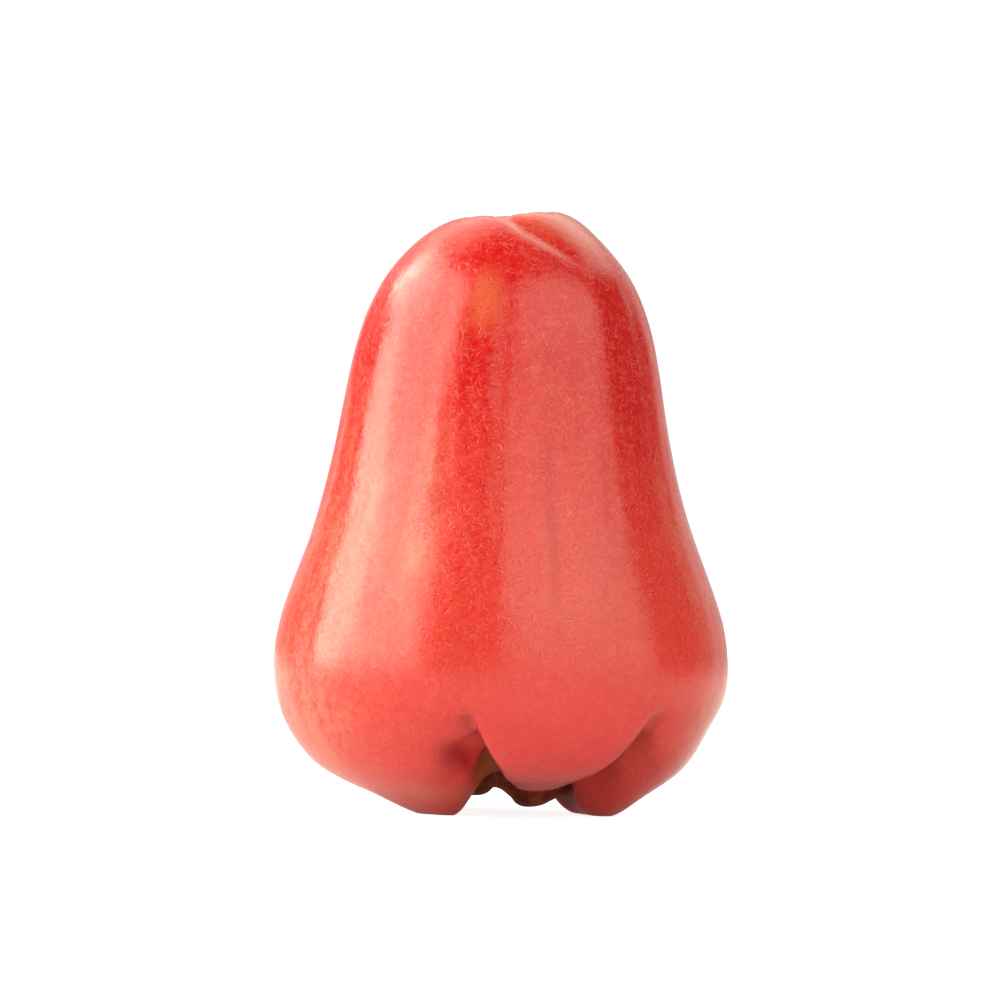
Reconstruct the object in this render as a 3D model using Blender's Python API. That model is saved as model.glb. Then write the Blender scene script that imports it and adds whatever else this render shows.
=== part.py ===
"""Malay apple standing on its lobed base: the fruit, and the calyx in the hollow of its base.

Each piece is one closed skin of meridians. A meridian is a smooth curve of radius and height in the half-plane
of one azimuth, so neighbouring meridians can't cross. Azimuth 0 is the front, -Y, and grows towards +X.
The fruit's meridians run from the stem scar over the shoulder, down the flank, round the base and up to the
roof of the hollow. The calyx's run from the tip of the dried style, over the disc and a sepal, to its back.
Lengths are in millimetres until they become vertices.
"""

import bpy
import numpy as np

MM = 0.001

# Driving dimensions
HEIGHT = 89.8
BELLY_RADIUS = 33.9
NECK_RADIUS = 23.8
FOOT_RADIUS = 14.0
FOOT_OFFSET = 1.5
HOLLOW_RADIUS = 10.9
HOLLOW_ROOF = 18.0
DEPTH_OVER_WIDTH = 0.97
SCAR_RADIUS = 1.5
STEM_LEAN = 1.5
REST_TILT = 1.4
FOOT_PRESS = 0.55
CLEARANCE = 0.35

# Radius and height of the outline from the stem scar down to the belly, the same at every azimuth
FLANK = [
    (0.0, HEIGHT - 3.9),
    (SCAR_RADIUS - 0.4, HEIGHT - 3.9),
    (SCAR_RADIUS + 0.1, HEIGHT - 4.6),
    (2.7, HEIGHT - 4.3),
    (4.1, HEIGHT - 1.8),
    (6.4, HEIGHT - 0.25),
    (9.9, HEIGHT - 1.15),
    (13.9, HEIGHT - 4.0),
    (17.9, HEIGHT - 8.6),
    (20.8, HEIGHT - 14.4),
    (22.6, HEIGHT - 20.5),
    (NECK_RADIUS, HEIGHT - 27.2),
    (NECK_RADIUS + 1.4, HEIGHT - 35.0),
    (NECK_RADIUS + 3.4, HEIGHT - 43.4),
    (BELLY_RADIUS - 4.2, HEIGHT - 50.8),
    (BELLY_RADIUS - 1.5, HEIGHT - 58.2),
    (BELLY_RADIUS, HEIGHT - 65.6),
    (BELLY_RADIUS - 0.5, HEIGHT - 72.0),
]
RIM, CREST, SHOULDER, BELLY = 3, 5, 8, 16

# The base below the flank, through the middle of a lobe: belly, foot, inner lip and wall of the hollow
LOBE = [
    (BELLY_RADIUS - 2.6, 12.9),
    (BELLY_RADIUS - 6.5, 7.6),
    (21.8, 4.0),
    (FOOT_RADIUS + 3.6, 1.55),
    (FOOT_RADIUS, 0.0),
    (HOLLOW_RADIUS + 0.7, 1.2),
    (HOLLOW_RADIUS, 5.0),
    (HOLLOW_RADIUS - 0.2, 10.6),
    (HOLLOW_RADIUS - 2.1, HOLLOW_ROOF - 2.2),
    (5.0, HOLLOW_ROOF - 0.5),
    (0.0, HOLLOW_ROOF),
]

# The same stations through a cleft: a small pocket high above the feet, then the low saddle round the hollow
CLEFT = [
    (BELLY_RADIUS - 2.4, 15.9),
    (BELLY_RADIUS - 4.3, 14.2),
    (26.6, 13.9),
    (23.2, 12.2),
    (19.6, 13.4),
    (16.2, 9.2),
    (13.4, 7.4),
    (HOLLOW_RADIUS + 0.4, 8.8),
    (HOLLOW_RADIUS - 2.4, HOLLOW_ROOF - 2.0),
    (4.9, HOLLOW_ROOF - 0.4),
    (0.0, HOLLOW_ROOF),
]

# How far up each base station goes with a stretch of the base that is held off the ground
LIFT_SHARE = [0.0, 0.2, 0.5, 0.85, 1.0, 0.9, 0.4, 0.1, 0.0, 0.0, 0.0]

# How far each base station goes with the ring of feet, which sits off centre towards +X
OFFSET_SHARE = [-0.2, 0.1, 0.6, 1.0, 1.0, 0.0, 0.0, 0.0, 0.0, 0.0, 0.0]

# Clefts between the lobes: azimuths of the outer and inner end, share of a full cleft, and its half-widths,
# which narrow towards the inner end
CLEFTS = [
    (-8.0, 5.0, 0.92, 2.4, 1.2),
    (45.5, 53.0, 0.84, 1.6, 2.6),
    (158.0, 163.0, 0.78, 2.6, 3.0),
    (258.0, 264.0, 0.82, 2.6, 3.2),
]
CLEFT_NARROWING = 0.7

# Stretches of the base held off the ground: azimuth and height
LIFTS = [(20.0, 4.4), (96.0, -0.25), (180.0, 3.4), (226.0, -0.38), (300.0, 0.2)]
LIFT_HALF_WIDTH = 38.0

# Furrows down the skin: azimuths of the upper and the lower end, depth, half-width, first and last station
FURROWS = [
    (-20.0, 45.0, 1.0, 1.2, CREST - 0.7, SHOULDER + 0.3),
    (203.0, 203.0, 0.7, 1.9, RIM, SHOULDER),
    (18.0, 18.0, 0.22, 1.6, SHOULDER, BELLY),
    (-31.0, -31.0, 0.30, 2.2, SHOULDER, BELLY),
    (-66.0, -66.0, 0.22, 2.4, SHOULDER, BELLY),
    (-118.0, -118.0, 0.35, 2.8, SHOULDER, BELLY),
    (-150.0, -150.0, 0.25, 2.2, SHOULDER, BELLY),
    (56.0, 56.0, 0.22, 2.4, SHOULDER, BELLY),
    (116.0, 116.0, 0.32, 2.6, SHOULDER, BELLY),
    (152.0, 152.0, 0.28, 2.4, SHOULDER, BELLY),
]
FURROW_FADE = 2.0

# Pockets sunk beside the clefts: azimuth, station, depth, half-width and half-length in stations
POCKETS = [(-14.5, 19.5, 2.4, 2.4, 0.9), (43.0, 19.6, 1.2, 2.4, 0.9)]

# The higher shoulder beside the stem groove: azimuth, rise, and its spread in stations
HIGH_SHOULDER_AZIMUTH = 75.0
HIGH_SHOULDER_RISE = 0.8
HIGH_SHOULDER_SPREAD = 1.4

# The calyx: a cup in the hollow whose sepals curl in under it, and the dried style in its middle
CUP_RADIUS = HOLLOW_RADIUS - 0.2 - CLEARANCE
CUP_BACK = HOLLOW_ROOF - 1.0
CUP_RIM = 11.0
DISC_HEIGHT = 14.6
STYLE_RADIUS = 0.6

# Sepals: azimuth, half-width and how much higher its lower edge is than that of the lowest
SEPALS = [(-41.0, 56.0, 2.8), (44.0, 55.0, 0.9), (118.0, 50.0, 1.1), (210.0, 58.0, 3.4)]
SEPAL_BLUNTNESS = 3.0

# Radius and height through the middle of a sepal, from the style's tip to the cup's back
SEPAL = [
    (0.0, 4.6),
    (STYLE_RADIUS - 0.1, 5.2),
    (STYLE_RADIUS, 10.0),
    (1.2, DISC_HEIGHT - 0.7),
    (3.4, DISC_HEIGHT),
    (6.4, DISC_HEIGHT - 0.7),
    (8.3, CUP_RIM),
    (8.5, 7.0),
    (7.6, 4.2),
    (5.7, 3.0),
    (4.2, 3.3),
    (3.5, 2.8),
    (4.2, 1.6),
    (6.4, 0.9),
    (9.1, 2.2),
    (CUP_RADIUS - 0.3, 5.6),
    (CUP_RADIUS - 0.2, 10.6),
    (7.9, CUP_BACK - 2.2),
    (4.4, CUP_BACK - 0.5),
    (0.0, CUP_BACK),
]
SEPAL_START = 6

# The same stations between two sepals, where the cup has only its rim
GAP = [
    (0.0, 4.6),
    (STYLE_RADIUS - 0.1, 5.2),
    (STYLE_RADIUS, 10.0),
    (1.2, DISC_HEIGHT - 0.7),
    (3.4, DISC_HEIGHT),
    (6.0, DISC_HEIGHT - 0.2),
    (7.8, CUP_RIM + 2.3),
    (8.4, CUP_RIM + 1.4),
    (8.6, CUP_RIM + 0.8),
    (8.7, CUP_RIM + 0.4),
    (8.8, CUP_RIM + 0.1),
    (9.0, CUP_RIM - 0.1),
    (9.3, CUP_RIM - 0.1),
    (9.6, CUP_RIM + 0.1),
    (9.8, CUP_RIM + 0.5),
    (9.9, CUP_RIM + 1.2),
    (9.8, CUP_RIM + 2.2),
    (7.9, CUP_BACK - 2.0),
    (4.4, CUP_BACK - 0.5),
    (0.0, CUP_BACK),
]

# Meridians round each piece, points along each meridian, and how much closer meridians stand in a cleft
FRUIT_COLUMNS, FRUIT_ROWS = 92, 54
CALYX_COLUMNS, CALYX_ROWS = 56, 34
CROWDING = 1.8
CROWDED_ARC = 15.0

# Share of the fruit's rows above the shoulder and above the belly: the base below it has the most
ROWS_TO_SHOULDER, ROWS_TO_BELLY = 0.24, 0.44


def turned(azimuths, middle):
    """Degrees from a middle azimuth, between -180 and 180."""
    return (azimuths - middle + 180.0) % 360.0 - 180.0


def smooth_step(x):
    x = np.clip(x, 0.0, 1.0)
    return x * x * (3.0 - 2.0 * x)


def valley(away):
    """A round-bottomed fold: 1 in its middle, falling off on both sides like an exponential."""
    return np.exp(1.0 - np.hypot(1.0, away))


def crowded_azimuths(count):
    """Azimuths that stand closer together near the clefts, where the skin turns quickest."""
    even = np.linspace(0.0, 360.0, 3601)
    density = np.ones_like(even)
    for outer, inner, *_ in CLEFTS:
        density += CROWDING * np.exp(-((turned(even, (outer + inner) / 2.0) / CROWDED_ARC) ** 2))
    travelled = np.concatenate([[0.0], np.cumsum((density[1:] + density[:-1]) / 2.0)])
    return np.interp(np.arange(count) / count * travelled[-1], travelled, even)


def spline(stations, places):
    """Cubic spline with continuous curvature through stations at whole numbers, read at the given places.

    The stations are mirrored past both ends, on the axis, so the skin is level where it crosses the axis.
    """
    mirror = np.array([-1.0, 1.0]).reshape(2, 1)
    points = np.concatenate([stations[2:0:-1] * mirror, stations, stations[-2:-4:-1] * mirror])
    last = len(points) - 1
    system = np.eye(last + 1)
    sides = np.zeros_like(points)
    for i in range(1, last):
        system[i, i - 1 : i + 2] = (1.0, 4.0, 1.0)
        sides[i] = 6.0 * (points[i - 1] - 2.0 * points[i] + points[i + 1])
    bends = np.linalg.solve(system, sides.reshape(last + 1, -1)).reshape(points.shape)
    start = np.minimum(places.astype(int) + 2, last - 3)
    b = (places + 2.0 - start).reshape(-1, 1, 1)
    a = 1.0 - b
    straight = a * points[start] + b * points[start + 1]
    return straight + ((a**3 - a) * bends[start] + (b**3 - b) * bends[start + 1]) / 6.0


def cleft_share(azimuths):
    """Share of the cleft in every base station at every azimuth: near 1 in a full cleft, 0 on a lobe."""
    inward = np.linspace(0.0, 1.0, len(LOBE))[:, None]
    radius = np.maximum([station[0] for station in LOBE], HOLLOW_RADIUS)[:, None]
    share = np.zeros((len(LOBE), len(azimuths)))
    for outer, inner, depth, before, after in CLEFTS:
        aside = radius * np.radians(turned(azimuths, outer + (inner - outer) * inward))
        half_width = np.where(aside < 0.0, before, after) * (1.0 - CLEFT_NARROWING * inward)
        share += depth * valley(aside / half_width)
    return share


def lift(azimuths):
    """Height by which the base is held off the ground at each azimuth."""
    height = np.zeros_like(azimuths)
    for azimuth, rise in LIFTS:
        height += rise * np.exp(-((turned(azimuths, azimuth) / LIFT_HALF_WIDTH) ** 4))
    return height


def fruit_stations(azimuths):
    """Radius and height of every station at every azimuth, as one array."""
    share = cleft_share(azimuths)
    flank = np.repeat(np.array(FLANK)[:, :, None], len(azimuths), axis=2)
    lobe = np.array(LOBE)[:, :, None]
    cleft = np.array(CLEFT)[:, :, None]
    base = lobe + (cleft - lobe) * share[:, None]
    base[:, 0] += np.outer(OFFSET_SHARE, FOOT_OFFSET * np.sin(np.radians(azimuths))) * (1.0 - share)
    base[:, 1] += np.outer(LIFT_SHARE, lift(azimuths)) * (1.0 - share)
    return np.concatenate([flank, base])


def relief(azimuths, radius, station):
    """Height of the skin over the plain outline: furrows and pockets sunk in, the higher shoulder raised."""
    raised = np.zeros_like(radius)
    for upper, lower, depth, half_width, first, last in FURROWS:
        middle = upper + (lower - upper) * (station - first) / (last - first)
        aside = radius * np.radians(turned(azimuths, middle))
        along = smooth_step((station - first) / FURROW_FADE) * smooth_step((last - station) / FURROW_FADE)
        raised -= depth * valley(aside / half_width) * along
    for azimuth, middle, depth, half_width, half_length in POCKETS:
        aside = radius * np.radians(turned(azimuths, azimuth))
        raised -= depth * np.exp(-((aside / half_width) ** 2) - ((station - middle) / half_length) ** 2)
    toward = 0.5 + 0.5 * np.cos(np.radians(turned(azimuths, HIGH_SHOULDER_AZIMUTH)))
    crest = np.exp(-(((station - CREST) / HIGH_SHOULDER_SPREAD) ** 2)) * smooth_step(station / RIM)
    raised += HIGH_SHOULDER_RISE * toward**2 * crest
    return raised


def tilted(skin):
    """The skin turned about Y by the small angle at which the fruit rests on its uneven feet."""
    cos, sin = np.cos(np.radians(REST_TILT)), np.sin(np.radians(REST_TILT))
    x, y, z = skin[..., 0], skin[..., 1], skin[..., 2]
    return np.stack([x * cos - z * sin, y, z * cos + x * sin], axis=2)


def fruit_skin(columns, rows):
    """Points of the fruit's skin as an array of rows, columns and x, y, z."""
    azimuths = crowded_azimuths(columns)
    last = len(FLANK) + len(LOBE) - 1.0
    shares, stops = [0.0, ROWS_TO_SHOULDER, ROWS_TO_BELLY, 1.0], [0.0, SHOULDER, BELLY, last]
    places = np.interp(np.linspace(0.0, 1.0, rows), shares, stops)
    curve = spline(fruit_stations(azimuths), places)
    radius, height = curve[:, 0], curve[:, 1]
    station = places[:, None]
    along = np.gradient(curve, axis=0)
    length = np.hypot(along[:, 0], along[:, 1])
    raised = relief(azimuths, radius, station)
    new_radius = radius - along[:, 1] / length * raised
    new_height = height + along[:, 0] / length * raised
    lean = STEM_LEAN * (new_height / HEIGHT) ** 3
    x = new_radius * np.sin(np.radians(azimuths)) + lean
    y = -new_radius * np.cos(np.radians(azimuths)) * DEPTH_OVER_WIDTH
    skin = np.stack([x, y, new_height], axis=2)
    skin[0] = skin[0].mean(axis=0)
    skin[-1] = skin[-1].mean(axis=0)
    return tilted(skin)


def calyx_skin(columns, rows):
    """Points of the calyx's skin: the sepal meridian where a sepal is, the rim meridian between sepals."""
    azimuths = np.arange(columns) * 360.0 / columns
    sepal = np.repeat(np.array(SEPAL)[:, :, None], columns, axis=2)
    uncovered, total, raised = np.ones(columns), np.full(columns, 0.01), np.zeros(columns)
    for azimuth, half_width, rise in SEPALS:
        own = 1.0 - np.minimum(np.abs(turned(azimuths, azimuth)) / half_width, 1.0) ** SEPAL_BLUNTNESS
        uncovered *= 1.0 - own
        total += own**2
        raised += rise * own**2
    share = 1.0 - uncovered
    below_rim = np.clip(1.0 - sepal[SEPAL_START:, 1] / CUP_RIM, 0.0, 1.0)
    sepal[SEPAL_START:, 1] += raised / total * below_rim
    gap = np.array(GAP)[:, :, None]
    curve = spline(gap + (sepal - gap) * share, np.linspace(0.0, len(SEPAL) - 1.0, rows))
    x = curve[:, 0] * np.sin(np.radians(azimuths))
    y = -curve[:, 0] * np.cos(np.radians(azimuths)) * DEPTH_OVER_WIDTH
    return tilted(np.stack([x, y, curve[:, 1]], axis=2))


def closed_mesh(name, skin):
    """A mesh of the skin's quads, with a fan of triangles at each end of the meridians.

    Its faces look outwards when the rows begin underneath and end at the top of the piece.
    """
    rows, columns = skin.shape[:2]
    inner = skin[1:-1].reshape(-1, 3)
    points = np.concatenate([skin[:1, 0], inner, skin[-1:, 0]]) * MM
    last = len(points) - 1
    faces = []
    for column in range(columns):
        beside = (column + 1) % columns
        faces.append((0, 1 + beside, 1 + column))
        for row in range(rows - 3):
            above = 1 + row * columns
            below = above + columns
            faces.append((above + column, above + beside, below + beside, below + column))
        end = 1 + (rows - 3) * columns
        faces.append((end + column, end + beside, last))
    mesh = bpy.data.meshes.new(name)
    mesh.from_pydata(points.tolist(), [], faces)
    mesh.validate()
    mesh.shade_smooth()
    return mesh


def finish_material(name, colour, roughness):
    material = bpy.data.materials.new(name)
    material.use_nodes = True
    shader = material.node_tree.nodes["Principled BSDF"]
    shader.inputs["Base Color"].default_value = (*colour, 1.0)
    shader.inputs["Roughness"].default_value = roughness
    shader.inputs["Metallic"].default_value = 0.0
    return material


def add_piece(name, skin, material):
    piece = bpy.data.objects.new(name, closed_mesh(name, skin))
    piece.data.materials.append(material)
    bpy.context.scene.collection.objects.link(piece)
    return piece


def main():
    for old in list(bpy.data.objects):
        bpy.data.objects.remove(old)
    red_skin = finish_material("waxy_red_skin", (0.72, 0.07, 0.05), 0.3)
    olive_skin = finish_material("olive_brown_sepal", (0.16, 0.07, 0.03), 0.45)
    fruit = fruit_skin(FRUIT_COLUMNS, FRUIT_ROWS)
    low, high = fruit.min(axis=(0, 1)), fruit.max(axis=(0, 1))
    ground = np.array([(low[0] + high[0]) / 2.0, (low[1] + high[1]) / 2.0, low[2] + FOOT_PRESS])
    fruit -= ground
    fruit[..., 2] = np.maximum(fruit[..., 2], 0.0)
    add_piece("fruit_body", fruit[::-1], red_skin)
    add_piece("calyx", calyx_skin(CALYX_COLUMNS, CALYX_ROWS) - ground, olive_skin)


main()
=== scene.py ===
"""A malay apple standing on its lobed base, on a pale floor under soft studio light.

The solids fix every size and place. The skins of the fruit and the calyx are drawn again here by the same
formulas, in finer steps and with the small relief and the colours that the solids leave out, and each stands
for its solid. Azimuth 0 is the front, -Y, and grows towards +X. Shapes are worked out in millimetres.
"""

from types import SimpleNamespace

import bpy
import numpy as np
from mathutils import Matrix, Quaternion, Vector


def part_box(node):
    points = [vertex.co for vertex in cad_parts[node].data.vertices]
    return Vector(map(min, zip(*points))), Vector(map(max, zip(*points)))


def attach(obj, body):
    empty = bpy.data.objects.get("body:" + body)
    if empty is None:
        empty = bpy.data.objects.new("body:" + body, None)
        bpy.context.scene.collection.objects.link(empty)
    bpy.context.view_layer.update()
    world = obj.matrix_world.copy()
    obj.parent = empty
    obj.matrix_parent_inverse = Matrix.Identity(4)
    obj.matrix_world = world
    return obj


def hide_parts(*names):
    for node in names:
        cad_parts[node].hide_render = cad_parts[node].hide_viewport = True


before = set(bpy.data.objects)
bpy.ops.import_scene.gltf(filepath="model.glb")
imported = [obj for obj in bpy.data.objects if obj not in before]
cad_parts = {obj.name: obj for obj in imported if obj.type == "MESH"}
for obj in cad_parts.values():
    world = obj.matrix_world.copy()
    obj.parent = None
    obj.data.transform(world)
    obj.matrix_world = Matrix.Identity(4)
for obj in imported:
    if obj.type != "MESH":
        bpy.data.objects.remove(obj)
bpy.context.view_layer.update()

MM = 0.001
BODY = "root"

# Driving dimensions of the fruit
HEIGHT = 89.8
BELLY_RADIUS = 33.9
NECK_RADIUS = 23.8
FOOT_RADIUS = 14.0
FOOT_OFFSET = 1.5
HOLLOW_RADIUS = 10.9
HOLLOW_ROOF = 18.0
DEPTH_OVER_WIDTH = 0.97
SCAR_RADIUS = 1.5
STEM_LEAN = 1.5
REST_TILT = 1.4
FOOT_PRESS = 0.55
CLEARANCE = 0.35

# Radius and height of the outline from the stem scar down to the belly, the same at every azimuth
FLANK = [
    (0.0, HEIGHT - 3.9),
    (SCAR_RADIUS - 0.4, HEIGHT - 3.9),
    (SCAR_RADIUS + 0.1, HEIGHT - 4.6),
    (2.7, HEIGHT - 4.3),
    (4.1, HEIGHT - 1.8),
    (6.4, HEIGHT - 0.25),
    (9.9, HEIGHT - 1.15),
    (13.9, HEIGHT - 4.0),
    (17.9, HEIGHT - 8.6),
    (20.8, HEIGHT - 14.4),
    (22.6, HEIGHT - 20.5),
    (NECK_RADIUS, HEIGHT - 27.2),
    (NECK_RADIUS + 1.4, HEIGHT - 35.0),
    (NECK_RADIUS + 3.4, HEIGHT - 43.4),
    (BELLY_RADIUS - 4.2, HEIGHT - 50.8),
    (BELLY_RADIUS - 1.5, HEIGHT - 58.2),
    (BELLY_RADIUS, HEIGHT - 65.6),
    (BELLY_RADIUS - 0.5, HEIGHT - 72.0),
]
RIM, CREST, SHOULDER, BELLY = 3, 5, 8, 16

# The base below the flank, through the middle of a lobe: belly, foot, inner lip and wall of the hollow
LOBE = [
    (BELLY_RADIUS - 2.6, 12.9),
    (BELLY_RADIUS - 6.5, 7.6),
    (21.8, 4.0),
    (FOOT_RADIUS + 3.6, 1.55),
    (FOOT_RADIUS, 0.0),
    (HOLLOW_RADIUS + 0.7, 1.2),
    (HOLLOW_RADIUS, 5.0),
    (HOLLOW_RADIUS - 0.2, 10.6),
    (HOLLOW_RADIUS - 2.1, HOLLOW_ROOF - 2.2),
    (5.0, HOLLOW_ROOF - 0.5),
    (0.0, HOLLOW_ROOF),
]

# The same stations through a cleft: a small pocket high above the feet, then the low saddle round the hollow
CLEFT = [
    (BELLY_RADIUS - 2.4, 15.9),
    (BELLY_RADIUS - 4.3, 14.2),
    (26.6, 13.9),
    (23.2, 12.2),
    (19.6, 13.4),
    (16.2, 9.2),
    (13.4, 7.4),
    (HOLLOW_RADIUS + 0.4, 8.8),
    (HOLLOW_RADIUS - 2.4, HOLLOW_ROOF - 2.0),
    (4.9, HOLLOW_ROOF - 0.4),
    (0.0, HOLLOW_ROOF),
]

# How far up each base station goes with a stretch of the base that is held off the ground
LIFT_SHARE = [0.0, 0.2, 0.5, 0.85, 1.0, 0.9, 0.4, 0.1, 0.0, 0.0, 0.0]

# How far each base station goes with the ring of feet, which sits off centre towards +X
OFFSET_SHARE = [-0.2, 0.1, 0.6, 1.0, 1.0, 0.0, 0.0, 0.0, 0.0, 0.0, 0.0]

# Clefts between the lobes: azimuths of the outer and inner end, share of a full cleft, and its half-widths,
# which narrow towards the inner end
CLEFTS = [
    (-8.0, 5.0, 0.92, 2.4, 1.2),
    (45.5, 53.0, 0.84, 1.6, 2.6),
    (158.0, 163.0, 0.78, 2.6, 3.0),
    (258.0, 264.0, 0.82, 2.6, 3.2),
]
CLEFT_NARROWING = 0.7

# Stretches of the base held off the ground: azimuth and height
LIFTS = [(20.0, 4.4), (96.0, -0.25), (180.0, 3.4), (226.0, -0.38), (300.0, 0.2)]
LIFT_HALF_WIDTH = 38.0

# Furrows down the skin: azimuths of the upper and the lower end, depth, half-width, first and last station
FURROWS = [
    (-20.0, 45.0, 1.0, 1.2, CREST - 0.7, SHOULDER + 0.3),
    (203.0, 203.0, 0.7, 1.9, RIM, SHOULDER),
    (18.0, 18.0, 0.22, 1.6, SHOULDER, BELLY),
    (-31.0, -31.0, 0.30, 2.2, SHOULDER, BELLY),
    (-66.0, -66.0, 0.22, 2.4, SHOULDER, BELLY),
    (-118.0, -118.0, 0.35, 2.8, SHOULDER, BELLY),
    (-150.0, -150.0, 0.25, 2.2, SHOULDER, BELLY),
    (56.0, 56.0, 0.22, 2.4, SHOULDER, BELLY),
    (116.0, 116.0, 0.32, 2.6, SHOULDER, BELLY),
    (152.0, 152.0, 0.28, 2.4, SHOULDER, BELLY),
]
FURROW_FADE = 2.0

# Pockets sunk beside the clefts: azimuth, station, depth, half-width and half-length in stations
POCKETS = [(-14.5, 19.5, 2.4, 2.4, 0.9), (43.0, 19.6, 1.2, 2.4, 0.9)]

# The higher shoulder beside the stem groove: azimuth, rise, and its spread in stations
HIGH_SHOULDER_AZIMUTH = 75.0
HIGH_SHOULDER_RISE = 0.8
HIGH_SHOULDER_SPREAD = 1.4

# The calyx: a cup in the hollow whose sepals curl in under it, and the dried style in its middle
CUP_RADIUS = HOLLOW_RADIUS - 0.2 - CLEARANCE
CUP_BACK = HOLLOW_ROOF - 1.0
CUP_RIM = 11.0
DISC_HEIGHT = 14.6
STYLE_RADIUS = 0.6

# Sepals: azimuth, half-width and how much higher its lower edge is than that of the lowest, how bluntly they
# end, and the cover that is counted even where no sepal is
SEPALS = [(-41.0, 56.0, 2.8), (44.0, 55.0, 0.9), (118.0, 50.0, 1.1), (210.0, 58.0, 3.4)]
SEPAL_BLUNTNESS = 3.0
LEAST_COVER = 0.01

# Radius and height through the middle of a sepal, from the style's tip to the cup's back
SEPAL = [
    (0.0, 4.6),
    (STYLE_RADIUS - 0.1, 5.2),
    (STYLE_RADIUS, 10.0),
    (1.2, DISC_HEIGHT - 0.7),
    (3.4, DISC_HEIGHT),
    (6.4, DISC_HEIGHT - 0.7),
    (8.3, CUP_RIM),
    (8.5, 7.0),
    (7.6, 4.2),
    (5.7, 3.0),
    (4.2, 3.3),
    (3.5, 2.8),
    (4.2, 1.6),
    (6.4, 0.9),
    (9.1, 2.2),
    (CUP_RADIUS - 0.3, 5.6),
    (CUP_RADIUS - 0.2, 10.6),
    (7.9, CUP_BACK - 2.2),
    (4.4, CUP_BACK - 0.5),
    (0.0, CUP_BACK),
]
SEPAL_START = 6

# The same stations between two sepals, where the cup has only its rim
GAP = [
    (0.0, 4.6),
    (STYLE_RADIUS - 0.1, 5.2),
    (STYLE_RADIUS, 10.0),
    (1.2, DISC_HEIGHT - 0.7),
    (3.4, DISC_HEIGHT),
    (6.0, DISC_HEIGHT - 0.2),
    (7.8, CUP_RIM + 2.3),
    (8.4, CUP_RIM + 1.4),
    (8.6, CUP_RIM + 0.8),
    (8.7, CUP_RIM + 0.4),
    (8.8, CUP_RIM + 0.1),
    (9.0, CUP_RIM - 0.1),
    (9.3, CUP_RIM - 0.1),
    (9.6, CUP_RIM + 0.1),
    (9.8, CUP_RIM + 0.5),
    (9.9, CUP_RIM + 1.2),
    (9.8, CUP_RIM + 2.2),
    (7.9, CUP_BACK - 2.0),
    (4.4, CUP_BACK - 0.5),
    (0.0, CUP_BACK),
]

# Meridians round each piece, points along each, and how much closer the meridians stand in a cleft
FRUIT_COLUMNS, FRUIT_ROWS = 470, 212
CALYX_COLUMNS, CALYX_ROWS = 300, 150
CROWDING = 0.8
CROWDED_ARC = 15.0
ROWS_TO_SHOULDER, ROWS_TO_BELLY = 0.20, 0.52

# Small relief: size, height and seed of the swellings in the skin and of the ripples that run down the flank
# between two stations, and the puckers that run unevenly spaced into the stem's dimple
SWELLINGS = [(7.0, 0.10, 11), (2.6, 0.035, 12)]
RIPPLE_WIDTH, RIPPLE_HEIGHT, RIPPLE_STRETCH, RIPPLE_SEED = 2.6, 0.15, 10.0, 13
RIPPLE_TOP, RIPPLE_FOOT, RIPPLE_FADE = CREST + 2.0, BELLY + 3.0, 3.0
PUCKERS, PUCKER_DEPTH = 13, 0.16
PUCKER_STATION, PUCKER_SPREAD = CREST - 0.7, 1.2
PUCKER_SWING, PUCKER_SWINGS = 2.0, 3.0
LATTICE_SIDE = 64

# Stations over which the colour of the clefts begins above the base
CLEFT_FADE = 1.5


# Shapes

def turned(azimuths, middle):
    """Degrees from a middle azimuth, between -180 and 180."""
    return (azimuths - middle + 180.0) % 360.0 - 180.0


def smooth_step(x):
    x = np.clip(x, 0.0, 1.0)
    return x * x * (3.0 - 2.0 * x)


def valley(away):
    """A round-bottomed fold: 1 in its middle, falling off on both sides like an exponential."""
    return np.exp(1.0 - np.hypot(1.0, away))


def swelling(points, cell, seed):
    """A smooth random height between -1 and 1: random values on a lattice, blended by a smooth step."""
    lattice = np.random.default_rng(seed).uniform(-1.0, 1.0, (LATTICE_SIDE, LATTICE_SIDE, LATTICE_SIDE))
    corner = np.floor(points / cell).astype(int)
    share = smooth_step(points / cell - corner)
    height = np.zeros(points.shape[:-1])
    for step in np.ndindex(2, 2, 2):
        near = np.where(np.array(step) == 1, share, 1.0 - share).prod(axis=-1)
        i, j, k = np.moveaxis((corner + step) % LATTICE_SIDE, -1, 0)
        height += near * lattice[i, j, k]
    return height


def crowded_azimuths(count):
    """Azimuths that stand closer together near the clefts, where the skin turns quickest."""
    even = np.linspace(0.0, 360.0, 3601)
    density = np.ones_like(even)
    for outer, inner, *_ in CLEFTS:
        density += CROWDING * np.exp(-((turned(even, (outer + inner) / 2.0) / CROWDED_ARC) ** 2))
    travelled = np.concatenate([[0.0], np.cumsum((density[1:] + density[:-1]) / 2.0)])
    return np.interp(np.arange(count) / count * travelled[-1], travelled, even)


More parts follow.
